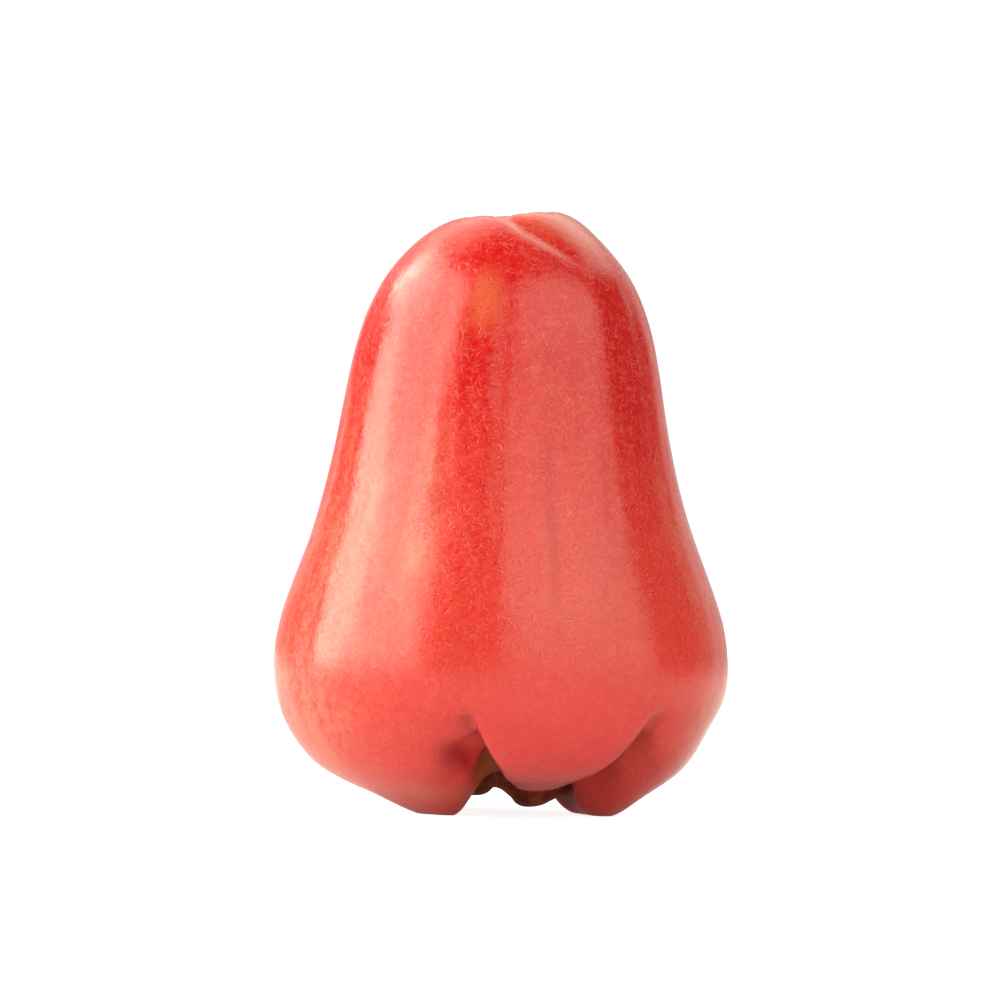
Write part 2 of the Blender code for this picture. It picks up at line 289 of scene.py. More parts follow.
def spline(stations, places):
    """Cubic spline with continuous curvature through stations at whole numbers, read at the given places.

    The stations are mirrored past both ends, on the axis, so the skin is level where it crosses the axis.
    """
    mirror = np.array([-1.0, 1.0]).reshape(2, 1)
    points = np.concatenate([stations[2:0:-1] * mirror, stations, stations[-2:-4:-1] * mirror])
    last = len(points) - 1
    system = np.eye(last + 1)
    sides = np.zeros_like(points)
    for i in range(1, last):
        system[i, i - 1 : i + 2] = (1.0, 4.0, 1.0)
        sides[i] = 6.0 * (points[i - 1] - 2.0 * points[i] + points[i + 1])
    bends = np.linalg.solve(system, sides.reshape(last + 1, -1)).reshape(points.shape)
    start = np.minimum(places.astype(int) + 2, last - 3)
    b = (places + 2.0 - start).reshape(-1, 1, 1)
    a = 1.0 - b
    straight = a * points[start] + b * points[start + 1]
    return straight + ((a**3 - a) * bends[start] + (b**3 - b) * bends[start + 1]) / 6.0


def cleft_share(azimuths):
    """Share of the cleft in every base station at every azimuth: near 1 in a full cleft, 0 on a lobe."""
    inward = np.linspace(0.0, 1.0, len(LOBE))[:, None]
    radius = np.maximum([station[0] for station in LOBE], HOLLOW_RADIUS)[:, None]
    share = np.zeros((len(LOBE), len(azimuths)))
    for outer, inner, depth, before, after in CLEFTS:
        aside = radius * np.radians(turned(azimuths, outer + (inner - outer) * inward))
        half_width = np.where(aside < 0.0, before, after) * (1.0 - CLEFT_NARROWING * inward)
        share += depth * valley(aside / half_width)
    return share


def lift(azimuths):
    """Height by which the base is held off the ground at each azimuth."""
    height = np.zeros_like(azimuths)
    for azimuth, rise in LIFTS:
        height += rise * np.exp(-((turned(azimuths, azimuth) / LIFT_HALF_WIDTH) ** 4))
    return height


def fruit_stations(azimuths):
    """Radius and height of every station at every azimuth, as one array."""
    share = cleft_share(azimuths)
    flank = np.repeat(np.array(FLANK)[:, :, None], len(azimuths), axis=2)
    lobe = np.array(LOBE)[:, :, None]
    cleft = np.array(CLEFT)[:, :, None]
    base = lobe + (cleft - lobe) * share[:, None]
    base[:, 0] += np.outer(OFFSET_SHARE, FOOT_OFFSET * np.sin(np.radians(azimuths))) * (1.0 - share)
    base[:, 1] += np.outer(LIFT_SHARE, lift(azimuths)) * (1.0 - share)
    return np.concatenate([flank, base])


def furrows(azimuths, radius, station):
    """Height of the skin over the plain outline: furrows and pockets sunk in, the higher shoulder raised."""
    raised = np.zeros_like(radius)
    for upper, lower, depth, half_width, first, last in FURROWS:
        middle = upper + (lower - upper) * (station - first) / (last - first)
        aside = radius * np.radians(turned(azimuths, middle))
        along = smooth_step((station - first) / FURROW_FADE) * smooth_step((last - station) / FURROW_FADE)
        raised -= depth * valley(aside / half_width) * along
    for azimuth, middle, depth, half_width, half_length in POCKETS:
        aside = radius * np.radians(turned(azimuths, azimuth))
        raised -= depth * np.exp(-((aside / half_width) ** 2) - ((station - middle) / half_length) ** 2)
    toward = 0.5 + 0.5 * np.cos(np.radians(turned(azimuths, HIGH_SHOULDER_AZIMUTH)))
    crest = np.exp(-(((station - CREST) / HIGH_SHOULDER_SPREAD) ** 2)) * smooth_step(station / RIM)
    raised += HIGH_SHOULDER_RISE * toward**2 * crest
    return raised


def small_relief(azimuths, radius, height, station):
    """Swellings all over, ripples that run down the flank, and puckers that run into the stem's dimple."""
    around = np.radians(azimuths + np.zeros_like(radius))
    skin = np.stack([radius * np.sin(around), radius * np.cos(around), height], axis=-1)
    raised = sum(rise * swelling(skin, cell, seed) for cell, rise, seed in SWELLINGS)
    along = height / RIPPLE_STRETCH
    drum = np.stack([NECK_RADIUS * np.sin(around), NECK_RADIUS * np.cos(around), along], axis=-1)
    above, below = station - RIPPLE_TOP, RIPPLE_FOOT - station
    on_flank = smooth_step(above / RIPPLE_FADE) * smooth_step(below / RIPPLE_FADE)
    raised += RIPPLE_HEIGHT * swelling(drum, RIPPLE_WIDTH, RIPPLE_SEED) * on_flank
    at_rim = np.exp(-(((station - PUCKER_STATION) / PUCKER_SPREAD) ** 2))
    waves = np.cos(PUCKERS * around + PUCKER_SWING * np.sin(PUCKER_SWINGS * around))
    return raised - PUCKER_DEPTH * at_rim * np.maximum(waves, 0.0) ** 2


def tilted(skin):
    """The skin turned about Y by the small angle at which the fruit rests on its uneven feet."""
    cos, sin = np.cos(np.radians(REST_TILT)), np.sin(np.radians(REST_TILT))
    x, y, z = skin[..., 0], skin[..., 1], skin[..., 2]
    return np.stack([x * cos - z * sin, y, z * cos + x * sin], axis=-1)


def fruit_skin(columns, rows):
    """Points of the fruit's skin as rows and columns, with the station and the share of cleft at each."""
    azimuths = crowded_azimuths(columns)
    last = len(FLANK) + len(LOBE) - 1.0
    shares, stops = [0.0, ROWS_TO_SHOULDER, ROWS_TO_BELLY, 1.0], [0.0, SHOULDER, BELLY, last]
    places = np.interp(np.linspace(0.0, 1.0, rows), shares, stops)
    curve = spline(fruit_stations(azimuths), places)
    radius, height = curve[:, 0], curve[:, 1]
    station = places[:, None]
    along = np.gradient(curve, axis=0)
    length = np.hypot(along[:, 0], along[:, 1])
    raised = furrows(azimuths, radius, station) + small_relief(azimuths, radius, height, station)
    new_radius = radius - along[:, 1] / length * raised
    new_height = height + along[:, 0] / length * raised
    lean = STEM_LEAN * (new_height / HEIGHT) ** 3
    x = new_radius * np.sin(np.radians(azimuths)) + lean
    y = -new_radius * np.cos(np.radians(azimuths)) * DEPTH_OVER_WIDTH
    skin = np.stack([x, y, new_height], axis=-1)
    skin[0] = skin[0].mean(axis=0)
    skin[-1] = skin[-1].mean(axis=0)
    share = cleft_share(azimuths)
    folded = np.array([np.interp(places - len(FLANK), np.arange(len(LOBE)), column) for column in share.T]).T
    folded *= smooth_step((station - len(FLANK) + CLEFT_FADE) / CLEFT_FADE)
    return tilted(skin), station + np.zeros_like(radius), folded


def calyx_skin(columns, rows):
    """Points of the calyx's skin: the sepal meridian where a sepal is, the rim meridian between sepals."""
    azimuths = np.arange(columns) * 360.0 / columns
    sepal = np.repeat(np.array(SEPAL)[:, :, None], columns, axis=2)
    uncovered, total, raised = np.ones(columns), np.full(columns, LEAST_COVER), np.zeros(columns)
    for azimuth, half_width, rise in SEPALS:
        own = 1.0 - np.minimum(np.abs(turned(azimuths, azimuth)) / half_width, 1.0) ** SEPAL_BLUNTNESS
        uncovered *= 1.0 - own
        total += own**2
        raised += rise * own**2
    share = 1.0 - uncovered
    below_rim = np.clip(1.0 - sepal[SEPAL_START:, 1] / CUP_RIM, 0.0, 1.0)
    sepal[SEPAL_START:, 1] += raised / total * below_rim
    gap = np.array(GAP)[:, :, None]
    curve = spline(gap + (sepal - gap) * share, np.linspace(0.0, len(SEPAL) - 1.0, rows))
    x = curve[:, 0] * np.sin(np.radians(azimuths))
    y = -curve[:, 0] * np.cos(np.radians(azimuths)) * DEPTH_OVER_WIDTH
    return tilted(np.stack([x, y, curve[:, 1]], axis=-1))


def closed_mesh(name, skin, values=None):
    """A mesh of the skin's quads with a fan of triangles at each end, and a named value at every point.

    Its faces look outwards when the rows begin underneath and end at the top of the piece.
    """
    rows, columns = skin.shape[:2]
    inner = np.arange(1, 1 + (rows - 2) * columns).reshape(rows - 2, columns)
    beside = np.roll(inner, -1, axis=1)
    quads = np.stack([inner[:-1], beside[:-1], beside[1:], inner[1:]], axis=-1).reshape(-1, 4)
    last = (rows - 2) * columns + 1
    foot = np.stack([np.zeros(columns, int), beside[0], inner[0]], axis=-1)
    head = np.stack([inner[-1], beside[-1], np.full(columns, last)], axis=-1)
    points = np.concatenate([skin[:1, 0], skin[1:-1].reshape(-1, 3), skin[-1:, 0]]) * MM
    mesh = bpy.data.meshes.new(name)
    mesh.from_pydata(points.tolist(), [], foot.tolist() + quads.tolist() + head.tolist())
    for label, value in (values or {}).items():
        whole = np.concatenate([value[:1, 0], value[1:-1].reshape(-1), value[-1:, 0]])
        mesh.attributes.new(label, "FLOAT", "POINT").data.foreach_set("value", whole.astype(np.float32))
    mesh.shade_smooth()
    return mesh


def add_piece(name, mesh, material, node):
    """A finished piece at the origin that rides on the body and stands for its solid."""
    piece = bpy.data.objects.new(name, mesh)
    bpy.context.scene.collection.objects.link(piece)
    mesh.materials.append(material)
    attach(piece, BODY)
    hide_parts(node)
    return piece


# Material helpers

# How far the middle of a patch reaches at full strength, as a share of its half-widths
PATCH_CORE = 0.15

# Radius of the drum round the axis on which the streaks are worked out
STREAK_DRUM = 24.0 * MM

# Bristle lines in the skin: size of their cells and half their thickness as a share of it
BRISTLES = [(1.3 * MM, 0.115), (0.85 * MM, 0.135)]

# In cells: how far the place is bent and at what scale, how much the lines share their neighbours' direction
# and over what scale, and where a line thins out towards its ends
BEND, BEND_SCALE = 1.4, 0.7
DRIFT, DRIFT_SCALE = 3.0, 0.22
LINE_ENDS = (0.18, 0.5)

# In half-thicknesses: where a line fades sideways, and how far aside its shaded side lies
LINE_EDGE = (0.1, 1.0)
SIDE_SHIFT = -1.2

# Range of a cell's random value over which its line grows from none to full strength
LINE_CHANCE = (0.1, 0.9)
MIDDLE_GREY = (0.5, 0.5, 0.5)


def put(tree, kind, inputs=None, **settings):
    """Adds a node. Each input is a plain value or the socket that feeds it."""
    node = tree.nodes.new(kind)
    for name, value in settings.items():
        setattr(node, name, value)
    for key, value in (inputs or {}).items():
        if isinstance(value, bpy.types.NodeSocket):
            tree.links.new(value, node.inputs[key])
        else:
            node.inputs[key].default_value = value
    return node


def maths(tree, operation, a, b=0.0):
    return put(tree, "ShaderNodeMath", {0: a, 1: b}, operation=operation).outputs[0]


def between(tree, value, low, high):
    """0 below low, 1 above high and a smooth step from one to the other."""
    inputs = {"Value": value, "From Min": low, "From Max": high, "To Min": 0.0, "To Max": 1.0}
    return put(tree, "ShaderNodeMapRange", inputs, interpolation_type="SMOOTHSTEP").outputs["Result"]


def tinted(tree, colour, target, *shares):
    """The colour turned towards a target colour by the product of the shares."""
    share = shares[0]
    for further in shares[1:]:
        share = maths(tree, "MULTIPLY", share, further)
    return put(tree, "ShaderNodeMix", {0: share, 6: colour, 7: target}, data_type="RGBA").outputs[2]


def vector(tree, operation, a, b=(0.0, 0.0, 0.0)):
    return put(tree, "ShaderNodeVectorMath", {0: a, 1: b}, operation=operation).outputs[0]


def scaled(tree, a, factor):
    return put(tree, "ShaderNodeVectorMath", {0: a, "Scale": factor}, operation="SCALE").outputs[0]


def dot(tree, a, b):
    return put(tree, "ShaderNodeVectorMath", {0: a, 1: b}, operation="DOT_PRODUCT").outputs["Value"]


def flattened(tree, a, normal):
    """A vector without its share along the normal, so that it lies in the skin."""
    return vector(tree, "SUBTRACT", a, scaled(tree, normal, dot(tree, a, normal)))


def wandering(tree, place, scale, reach):
    """A vector that wanders smoothly from place to place."""
    noise = put(tree, "ShaderNodeTexNoise", {"Vector": place, "Scale": scale, "Detail": 1.0}).outputs[1]
    return scaled(tree, vector(tree, "SUBTRACT", noise, MIDDLE_GREY), reach)


def speckles(tree, place, size, detail, roughness, distortion):
    """Noise of one size all over the skin, without a direction."""
    look = {"Detail": detail, "Roughness": roughness, "Distortion": distortion}
    return put(tree, "ShaderNodeTexNoise", {"Vector": place, "Scale": 1.0 / size, **look}).outputs[0]


def blank_group(name, vectors, numbers, results):
    """A node group with its named sockets, and the nodes at its two ends."""
    group = bpy.data.node_groups.new(name, "ShaderNodeTree")
    for label in vectors:
        group.interface.new_socket(label, in_out="INPUT", socket_type="NodeSocketVector")
    for label in numbers:
        group.interface.new_socket(label, in_out="INPUT", socket_type="NodeSocketFloat")
    for label in results:
        group.interface.new_socket(label, in_out="OUTPUT", socket_type="NodeSocketFloat")
    return group, group.nodes.new("NodeGroupInput"), group.nodes.new("NodeGroupOutput")


def use_group(tree, group, inputs):
    return put(tree, "ShaderNodeGroup", inputs, node_tree=group).outputs


def patch_group():
    """A soft-edged patch round an azimuth and a height: 1 in its middle and 0 past its half-widths.

    The azimuth is read from the place, turned by the patch's own azimuth so that it never meets the seam.
    """
    numbers = ["Azimuth", "Height", "Half width", "Half height"]
    group, given, made = blank_group("patch", ["Vector"], numbers, ["Share"])
    radians = maths(group, "RADIANS", given.outputs["Azimuth"])
    turn = {"Vector": given.outputs["Vector"], "Angle": maths(group, "MULTIPLY", radians, -1.0)}
    ahead = put(group, "ShaderNodeVectorRotate", turn, rotation_type="Z_AXIS").outputs[0]
    split = put(group, "ShaderNodeSeparateXYZ", {0: ahead}).outputs
    from_front = maths(group, "ARCTAN2", split[0], maths(group, "MULTIPLY", split[1], -1.0))
    round_it = maths(group, "DIVIDE", maths(group, "DEGREES", from_front), given.outputs["Half width"])
    above = maths(group, "SUBTRACT", split[2], given.outputs["Height"])
    up = maths(group, "DIVIDE", above, given.outputs["Half height"])
    squares = [maths(group, "MULTIPLY", side, side) for side in (round_it, up)]
    away = maths(group, "SQRT", maths(group, "ADD", *squares))
    share = maths(group, "SUBTRACT", 1.0, between(group, away, PATCH_CORE, 1.0))
    group.links.new(share, made.inputs["Share"])
    return group


def streak_group():
    """Streaks that run down the fruit: noise on a drum round the axis, drawn out along its height."""
    group, given, made = blank_group("streaks", ["Vector"], ["Width", "Stretch"], ["Share"])
    split = put(group, "ShaderNodeSeparateXYZ", {0: given.outputs["Vector"]}).outputs
    flat = put(group, "ShaderNodeCombineXYZ", {0: split[0], 1: split[1]}).outputs[0]
    drum = scaled(group, vector(group, "NORMALIZE", flat), STREAK_DRUM)
    level = maths(group, "DIVIDE", split[2], given.outputs["Stretch"])
    along = put(group, "ShaderNodeCombineXYZ", {2: level}).outputs[0]
    inputs = {
        "Vector": vector(group, "ADD", drum, along),
        "Scale": maths(group, "DIVIDE", 1.0, given.outputs["Width"]),
        "Detail": 4.0,
        "Roughness": 0.6,
    }
    noise = put(group, "ShaderNodeTexNoise", inputs).outputs[0]
    group.links.new(noise, made.inputs["Share"])
    return group


def bristle_group():
    """Short lines that lie in the skin: one through the middle of each random cell, in wandering directions.

    Line is 1 along the middle of a line and fades to 0 at its edges and at its ends, for a painted
    highlight.
    Side is the same just beside it, for the painted shade of the shaded edge. The place is bent by a noise
    first, which curves the lines.
    """
    vectors, numbers = ["Vector", "Normal"], ["Cell", "Thickness"]
    group, given, made = blank_group("bristles", vectors, numbers, ["Line", "Side"])
    normal = given.outputs["Normal"]
    place = scaled(group, given.outputs["Vector"], maths(group, "DIVIDE", 1.0, given.outputs["Cell"]))
    bent = vector(group, "ADD", place, wandering(group, place, BEND_SCALE, BEND))
    cells = put(group, "ShaderNodeTexVoronoi", {"Vector": bent, "Scale": 1.0, "Randomness": 1.0}).outputs
    own = vector(group, "SUBTRACT", cells["Color"], MIDDLE_GREY)
    way = vector(group, "ADD", own, wandering(group, place, DRIFT_SCALE, DRIFT))
    way = vector(group, "NORMALIZE", flattened(group, way, normal))
    local = flattened(group, vector(group, "SUBTRACT", bent, cells["Position"]), normal)
    across = vector(group, "CROSS_PRODUCT", normal, way)
    off_line = maths(group, "DIVIDE", dot(group, local, across), given.outputs["Thickness"])
    along = maths(group, "ABSOLUTE", dot(group, local, way))
    ends = maths(group, "SUBTRACT", 1.0, between(group, along, *LINE_ENDS))
    chance = put(group, "ShaderNodeSeparateXYZ", {0: cells["Color"]}).outputs[2]
    reach = maths(group, "MULTIPLY", ends, between(group, chance, *LINE_CHANCE))
    for label, shift in (("Line", 0.0), ("Side", SIDE_SHIFT)):
        away = maths(group, "ABSOLUTE", maths(group, "ADD", off_line, shift))
        ridge = maths(group, "SUBTRACT", 1.0, between(group, away, *LINE_EDGE))
        group.links.new(maths(group, "MULTIPLY", ridge, reach), made.inputs[label])
    return group


def blank_material(name):
    material = bpy.data.materials.new(name)
    material.use_nodes = True
    tree = material.node_tree
    return material, tree, tree.nodes["Principled BSDF"]


# Materials

# Colours of the skin, and the painted shade and painted highlight of the fine lines in it
DEEP_RED = (0.54, 0.003, 0.006, 1.0)
CORAL = (0.62, 0.036, 0.028, 1.0)
SALMON = (0.58, 0.140, 0.090, 1.0)
ORANGE = (0.68, 0.15, 0.055, 1.0)
ROSE = (0.68, 0.044, 0.046, 1.0)
# Painted shade for the clefts and the hollows beside them
CLEFT_SHADE_RED = (0.36, 0.001, 0.003, 1.0)
DARK_RED = (0.25, 0.001, 0.003, 1.0)
# Painted shade beside the fine lines, also used for the groove and the right flank, and painted highlight
# along the lines
LINE_SHADE = (0.36, 0.002, 0.005, 1.0)
LINE_HIGHLIGHT = (0.85, 0.16, 0.13, 1.0)
OLIVE = (0.26, 0.085, 0.015, 1.0)
BROWN_OLIVE = (0.26, 0.028, 0.008, 1.0)

# Patches of the skin are an azimuth, a height, half-widths round and up, and a strength

# Paler skin where it ripened less; the first three patches, on the left where the key lights fall, and the
# one at the right rim are painted highlight
PALE_AND_HIGHLIGHT_PATCHES = [
    (-62.0, 34.0, 46.0, 44.0, 0.62),
    (-26.0, 44.0, 9.0, 22.0, 0.80),
    (-58.0, 15.0, 24.0, 11.0, 0.95),
    (22.0, 33.0, 34.0, 17.0, 0.12),
    (69.0, 36.0, 17.0, 26.0, 0.42),
    (150.0, 40.0, 50.0, 34.0, 0.25),
    (-140.0, 46.0, 40.0, 34.0, 0.35),
]
PALE_STRENGTH = 1.5

# Painted shade: darker red down the groove in the front, and in the dark band on the right flank up to the
# shoulder
PAINTED_SHADE_PATCHES = [(15.0, 46.0, 2.6, 27.0, 0.4), (56.0, 68.0, 24.0, 32.0, 0.7)]

# The orange spot below the shoulder
SPOT = (-10.5, 76.0, 12.0, 7.0, 0.55)

# Colours of the base and the top: the front lobe's rose, painted highlight along a low ridge of the left
# lobe, painted shade in the hollows beside the two clefts, and painted highlight on the shoulder beside the
# stem's dimple
TINTED_PATCHES = [
    (ROSE, 18.0, 8.0, 48.0, 20.0, 0.8),
    (SALMON, -62.0, 8.0, 16.0, 4.0, 0.5),
    (SALMON, -32.0, 3.5, 26.0, 2.2, 0.5),
    (CLEFT_SHADE_RED, -14.0, 9.0, 8.0, 4.0, 1.0),
    (CLEFT_SHADE_RED, 44.0, 9.0, 10.0, 4.5, 1.0),
    (SALMON, 40.0, 88.5, 50.0, 5.0, 0.5),
]

# Azimuth, height and half-widths of the flank that turns olive in the left cleft, and of the dull skin in it
OLIVE_FLANK = (-6.0, 6.0, 12.0, 9.0)
DULL_HOLLOW = (-10.0, 8.0, 12.0, 6.0)

# Stations over which the skin turns olive in the left cleft, and brown inside the hollow
OLIVE_STATIONS = (20.8, 22.6)
BROWN_STATIONS = (22.9, 24.3)

# Coral below and deep red above: the heights between them, the shares of height, broad streaks and mottle in
# the ripeness, and the range of their sum
RIPENING_HEIGHTS = (26.0 * MM, 74.0 * MM)
RIPE_BY_HEIGHT, RIPE_BY_STREAKS, RIPE_BY_MOTTLE = 0.35, 0.8, 0.6
RIPE_RANGE = (0.55, 1.05)

# Narrow streaks and mottle that break up the pale patches: their share each, and the range of their sum
PALE_BREAKS, PALE_RANGE = 0.8, (0.55, 1.05)

# The fine lines: heights over which they grow to full strength, their share below that, and the strengths of
# the lines' painted highlight and of the painted shade on their shaded sides
LINE_HEIGHTS = (12.0 * MM, 34.0 * MM)
LINE_SHARE_BELOW = 0.35
LINE_STRENGTH, SIDE_STRENGTH = 0.4, 0.6

# Ranges of the grain, the mottle and the share of cleft over which they tint the skin, and how strongly; the
# tint of the clefts is painted shade
RED_GRAIN = (0.35, 0.6)
WORN_GRAIN, WORN_STRENGTH = (0.25, 0.48), 0.35
PALE_GRAIN, PALE_GRAIN_STRENGTH = (0.48, 0.75), 0.3
PALE_MOTTLE, PALE_MOTTLE_STRENGTH = (0.45, 0.75), 0.3
FULL_CLEFT, CLEFT_STRENGTH = (0.5, 0.95), 0.6

# Width of the streaks and how far they are drawn out, and size of the speckles
BROAD_STREAKS = (8.0 * MM, 4.0)
NARROW_STREAKS = (2.4 * MM, 3.0)
MOTTLE_SIZE = 1.4 * MM
GRAIN_SIZE = 0.55 * MM

# Depth of the relief in the skin, the shares of grain, mottle and lines in it, the roughness of waxy skin
# and what dull skin adds to it
RELIEF_DEPTH = 0.024 * MM
GRAIN_SHARE, MOTTLE_SHARE, LINES_SHARE = 0.9, 2.2, 0.7
WAX_ROUGHNESS, ADDED_ROUGHNESS = 0.17, 0.8


def patch_share(tree, patch, place, azimuth, height, half_width, half_height, strength=1.0):
    inputs = {
        "Vector": place,
        "Azimuth": azimuth,
        "Height": height * MM,
        "Half width": half_width,
        "Half height": half_height * MM,
    }
    return maths(tree, "MULTIPLY", use_group(tree, patch, inputs)["Share"], strength)


def strongest_patch(tree, patch, place, patches):
    strongest = 0.0
    for spread in patches:
        strongest = maths(tree, "MAXIMUM", strongest, patch_share(tree, patch, place, *spread))
    return strongest


def streaks_of(tree, streaks, place, width, stretch):
    return use_group(tree, streaks, {"Vector": place, "Width": width, "Stretch": stretch})["Share"]


def bristle_layers(tree, bristles, place, normal):
    """The strongest line and the strongest shaded side of all layers of bristles, and their height."""
    line, side, height = 0.0, 0.0, 0.0
    coarsest = BRISTLES[0][0]
    for cell, thickness in BRISTLES:
        inputs = {"Vector": place, "Normal": normal, "Cell": cell, "Thickness": thickness}
        layer = use_group(tree, bristles, inputs)
        line = maths(tree, "MAXIMUM", line, layer["Line"])
        side = maths(tree, "MAXIMUM", side, layer["Side"])
        height = maths(tree, "ADD", height, maths(tree, "MULTIPLY", layer["Line"], cell / coarsest))
    return line, side, height


def skin_marks(tree, streaks):
    """What the skin's colours and relief are worked out from: places on the fruit, streaks and speckles."""
    coordinates = put(tree, "ShaderNodeTexCoord").outputs
    place = coordinates["Object"]
    return SimpleNamespace(
        place=place,
        normal=coordinates["Normal"],
        height=put(tree, "ShaderNodeSeparateXYZ", {0: place}).outputs[2],
        cleft=put(tree, "ShaderNodeAttribute", attribute_name="cleft").outputs["Fac"],
        station=put(tree, "ShaderNodeAttribute", attribute_name="station").outputs["Fac"],
        broad=streaks_of(tree, streaks, place, *BROAD_STREAKS),
        narrow=streaks_of(tree, streaks, place, *NARROW_STREAKS),
        mottle=speckles(tree, place, MOTTLE_SIZE, 4.0, 0.7, 1.2),
        grain=speckles(tree, place, GRAIN_SIZE, 3.0, 0.6, 2.0),
    )


def ripened(tree, skin):
    """Coral below and deep red above, uneven by broad streaks and mottles."""
    lower = maths(tree, "SUBTRACT", 1.0, between(tree, skin.height, *RIPENING_HEIGHTS))
    lower = maths(tree, "MULTIPLY", lower, RIPE_BY_HEIGHT)
    streaked = maths(tree, "MULTIPLY", skin.broad, RIPE_BY_STREAKS)
    mottled = maths(tree, "MULTIPLY", skin.mottle, RIPE_BY_MOTTLE)
    ripe = maths(tree, "ADD", lower, maths(tree, "ADD", streaked, mottled))
    return tinted(tree, DEEP_RED, CORAL, between(tree, ripe, *RIPE_RANGE))


def patched(tree, patch, skin, colour):
    """The colour with its paler patches, its painted highlights and painted shade, and the orange spot."""
    streaked = maths(tree, "MULTIPLY", skin.narrow, PALE_BREAKS)
    mottled = maths(tree, "MULTIPLY", skin.mottle, PALE_BREAKS)
    broken = between(tree, maths(tree, "ADD", streaked, mottled), *PALE_RANGE)
    # Paler skin, and painted highlight on the left where the key lights fall and on the right rim
    pale = strongest_patch(tree, patch, skin.place, PALE_AND_HIGHLIGHT_PATCHES)
    colour = tinted(tree, colour, SALMON, pale, broken, PALE_STRENGTH)
    # Painted shade down the front groove and on the right flank, speckled by the grain
    red = strongest_patch(tree, patch, skin.place, PAINTED_SHADE_PATCHES)
    colour = tinted(tree, colour, LINE_SHADE, red, between(tree, skin.grain, *RED_GRAIN))
    return tinted(tree, colour, ORANGE, patch_share(tree, patch, skin.place, *SPOT))


def stroked(tree, bristles, skin, colour):
    """The colour with its grain and fine lines of painted highlight and shade, and the height of the lines.
    """
    line, side, height = bristle_layers(tree, bristles, skin.place, skin.normal)
    colour = tinted(tree, colour, SALMON, between(tree, skin.grain, *PALE_GRAIN), PALE_GRAIN_STRENGTH)
    worn = maths(tree, "SUBTRACT", 1.0, between(tree, skin.grain, *WORN_GRAIN))
    colour = tinted(tree, colour, DARK_RED, worn, WORN_STRENGTH)
    rising = maths(tree, "MULTIPLY", between(tree, skin.height, *LINE_HEIGHTS), 1.0 - LINE_SHARE_BELOW)
    on_flank = maths(tree, "ADD", LINE_SHARE_BELOW, rising)
    # Painted shade beside each line and painted highlight along it
    colour = tinted(tree, colour, LINE_SHADE, side, on_flank, SIDE_STRENGTH)
    colour = tinted(tree, colour, LINE_HIGHLIGHT, line, on_flank, LINE_STRENGTH)
    return colour, maths(tree, "MULTIPLY", height, on_flank)


def tinted_base(tree, patch, skin, colour, inside):
    """The colour with the tints of the base and the top, the clefts, the olive flank and the hollow."""
    # Among these tints are painted highlight on the left lobe's low ridge and on the shoulder, and painted
    # shade in the hollows beside the clefts
    for target, *spread in TINTED_PATCHES:
        colour = tinted(tree, colour, target, patch_share(tree, patch, skin.place, *spread))
    # Painted shade that deepens the red in the clefts
    colour = tinted(tree, colour, CLEFT_SHADE_RED, between(tree, skin.cleft, *FULL_CLEFT), CLEFT_STRENGTH)
    mottled = between(tree, skin.mottle, *PALE_MOTTLE)
    colour = tinted(tree, colour, SALMON, mottled, PALE_MOTTLE_STRENGTH)
    turning = between(tree, skin.station, *OLIVE_STATIONS)
    colour = tinted(tree, colour, OLIVE, turning, patch_share(tree, patch, skin.place, *OLIVE_FLANK))
    return tinted(tree, colour, BROWN_OLIVE, inside)


def skin_relief(tree, skin, lines_height):
    """The grain, the mottle and the lines as one bumpy normal."""
    grain = maths(tree, "MULTIPLY", skin.grain, GRAIN_SHARE)
    mottle = maths(tree, "MULTIPLY", skin.mottle, MOTTLE_SHARE)
    lines = maths(tree, "MULTIPLY", lines_height, LINES_SHARE)
    height = maths(tree, "ADD", maths(tree, "ADD", grain, mottle), lines)
    inputs = {"Height": height, "Strength": 1.0, "Distance": RELIEF_DEPTH}
    return put(tree, "ShaderNodeBump", inputs).outputs[0]


def skin_material(streaks, bristles, patch):
    material, tree, shader = blank_material("waxy_red_skin")
    skin = skin_marks(tree, streaks)
    inside = between(tree, skin.station, *BROWN_STATIONS)
    colour = patched(tree, patch, skin, ripened(tree, skin))
    colour, lines_height = stroked(tree, bristles, skin, colour)
    tree.links.new(tinted_base(tree, patch, skin, colour, inside), shader.inputs["Base Color"])
    tree.links.new(skin_relief(tree, skin, lines_height), shader.inputs["Normal"])
    dull = maths(tree, "MAXIMUM", inside, patch_share(tree, patch, skin.place, *DULL_HOLLOW))
    roughness = maths(tree, "ADD", WAX_ROUGHNESS, maths(tree, "MULTIPLY", dull, ADDED_ROUGHNESS))
    tree.links.new(roughness, shader.inputs["Roughness"])
    shader.inputs["Subsurface Weight"].default_value = 0.15
    shader.inputs["Subsurface Radius"].default_value = (1.0, 0.2, 0.1)
    shader.inputs["Subsurface Scale"].default_value = 1.5 * MM
    return material


SEPAL_DARK = (0.13, 0.015, 0.003, 1.0)
SEPAL_LIGHT = (0.30, 0.060, 0.012, 1.0)
BLOTCH_SIZE, BLOTCH_RANGE = 2.5 * MM, (0.35, 0.65)
SEPAL_LINE_STRENGTH = 0.3
SEPAL_RELIEF = 0.05 * MM


